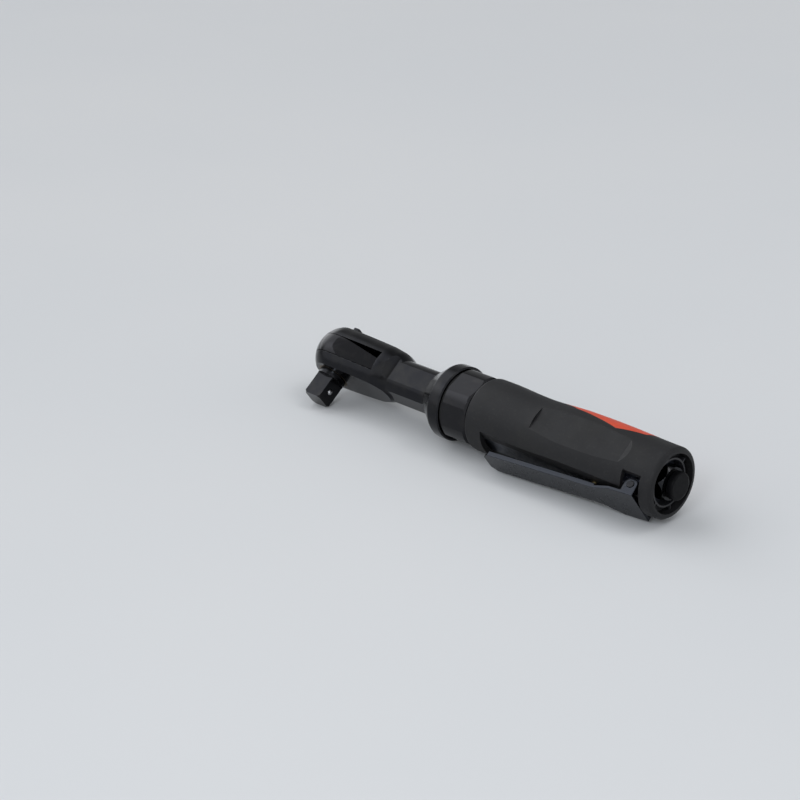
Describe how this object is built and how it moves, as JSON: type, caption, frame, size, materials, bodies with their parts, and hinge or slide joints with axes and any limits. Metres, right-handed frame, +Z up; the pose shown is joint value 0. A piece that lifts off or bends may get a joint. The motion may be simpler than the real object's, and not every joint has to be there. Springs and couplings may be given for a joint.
{
  "type": "air ratchet",
  "caption": "Straight air ratchet: forked head with rocking yoke and square drive, planetary gearing and vane motor in a rubber grip, throttle lever and threaded air inlet.",
  "frame": {"origin": "on the floor, under the middle of the box around the tool", "axes": "+X along the tool from the ratchet head to the air inlet, +Z up; the tool lies on its side, with the square drive pointing down and to -Y"},
  "size_m": [0.2812, 0.0522, 0.0474],
  "materials": {
    "black_steel": "black oxide, satin",
    "bright_steel": "machined",
    "bronze": "machined",
    "brass": "machined",
    "seal_rubber": "matte",
    "blade_plastic": "matte",
    "black_alloy": "anodised, satin",
    "grip_rubber": "soft matte",
    "accent_plastic": "satin",
    "plug_plastic": "matte",
    "deflector_plastic": "matte"
  },
  "bodies": {
    "handle": {"ratchet_housing": "black_steel", "drive_bushing": "bronze", "crank_bearing": "bright_steel", "ring_gear": "bright_steel", "flange_seal": "seal_rubber", "clamp_collar": "black_steel", "front_end_plate": "bright_steel", "front_bearing": "bright_steel", "air_cylinder": "bright_steel", "cylinder_dowel": "bright_steel", "rear_end_plate": "bright_steel", "rear_bearing": "bright_steel", "motor_housing": "black_alloy", "grip_sleeve": "grip_rubber", "accent_inlay": "accent_plastic", "lever_pin": "bright_steel", "valve_spring": "bright_steel", "valve_plug": "bright_steel", "inlet_bushing": "black_steel", "inlet_screen": "bright_steel", "exhaust_deflector": "deflector_plastic"},
    "yoke": {"ratchet_yoke": "bright_steel"},
    "anvil": {"anvil": "bright_steel", "pawl_pin": "bright_steel", "thrust_washer": "bronze", "wave_washer": "bright_steel", "retaining_ring": "bright_steel", "detent_spring": "bright_steel"},
    "reverser": {"reverse_lever": "black_steel", "pawl_plunger": "bright_steel"},
    "pawl": {"pawl": "bright_steel"},
    "detent": {"detent_ball": "bright_steel"},
    "rotor": {"rotor": "bright_steel", "rotor_blades": "blade_plastic"},
    "crank": {"crankshaft": "bright_steel", "crank_roller": "bright_steel", "planet_pins": "bright_steel"},
    "planet_1": {"planet_gear_1": "bright_steel"},
    "planet_2": {"planet_gear_2": "bright_steel"},
    "planet_3": {"planet_gear_3": "bright_steel"},
    "throttle": {"throttle_lever": "black_steel"},
    "valve": {"valve_stem": "brass"},
    "plug": {"inlet_plug": "plug_plastic"}
  },
  "joints": [
    {"name": "yoke_rock", "type": "hinge", "parent": "handle", "child": "yoke", "pos_m": [-0.12135, 0.00309, 0.02446], "axis": [0, 0.7934, 0.6088], "range_deg": [-3, 3]},
    {"name": "drive_spin", "type": "hinge", "parent": "handle", "child": "anvil", "pos_m": [-0.12135, 0.00309, 0.02446], "axis": [0, 0.7934, 0.6088], "continuous": true},
    {"name": "reverse_turn", "type": "hinge", "parent": "anvil", "child": "reverser", "pos_m": [-0.12135, 0.00309, 0.02446], "axis": [0, 0.7934, 0.6088], "range_deg": [-20, 20]},
    {"name": "pawl_tilt", "type": "hinge", "parent": "anvil", "child": "pawl", "pos_m": [-0.11535, 0.00309, 0.02446], "axis": [0, 0.7934, 0.6088], "range_deg": [-6.1, 6.1]},
    {"name": "detent_push", "type": "slide", "parent": "anvil", "child": "detent", "axis": [-1, 0, 0], "range_m": [0, 0.0008], "stiffness_N_per_m": 800, "springref_m": -0.002},
    {"name": "motor_spin", "type": "hinge", "parent": "handle", "child": "rotor", "pos_m": [-0.12135, 0.00309, 0.02446], "axis": [1, 0, 0], "continuous": true},
    {"name": "crank_spin", "type": "hinge", "parent": "handle", "child": "crank", "pos_m": [-0.12135, 0.00309, 0.02446], "axis": [1, 0, 0], "continuous": true},
    {"name": "planet_1_spin", "type": "hinge", "parent": "crank", "child": "planet_1", "pos_m": [-0.02935, -0.00483, 0.01838], "axis": [1, 0, 0], "continuous": true},
    {"name": "planet_2_spin", "type": "hinge", "parent": "crank", "child": "planet_2", "pos_m": [-0.02935, 0.0123, 0.02064], "axis": [1, 0, 0], "continuous": true},
    {"name": "planet_3_spin", "type": "hinge", "parent": "crank", "child": "planet_3", "pos_m": [-0.02935, 0.00178, 0.03435], "axis": [1, 0, 0], "continuous": true},
    {"name": "throttle_squeeze", "type": "hinge", "parent": "handle", "child": "throttle", "pos_m": [0.12165, -0.00842, 0.01563], "axis": [0, 0.6088, -0.7934], "range_deg": [0, 4], "stiffness_Nm_per_rad": 1.2, "springref_deg": -6.88},
    {"name": "valve_push", "type": "slide", "parent": "handle", "child": "valve", "axis": [0, 0.7934, 0.6088], "range_m": [0, 0.0022]},
    {"name": "plug_pull", "type": "slide", "parent": "handle", "child": "plug", "axis": [1, 0, 0], "range_m": [0, 0.06]}
  ],
  "couplings": [
    {"joint": "crank_spin", "follows": "motor_spin", "ratio": 0.28571},
    {"joint": "planet_1_spin", "follows": "motor_spin", "ratio": -0.95238},
    {"joint": "planet_2_spin", "follows": "motor_spin", "ratio": -0.95238},
    {"joint": "planet_3_spin", "follows": "motor_spin", "ratio": -0.95238},
    {"joint": "pawl_tilt", "follows": "reverse_turn", "ratio": -0.3},
    {"joint": "valve_push", "follows": "throttle_squeeze", "m_per_rad": 0.03}
  ]
}
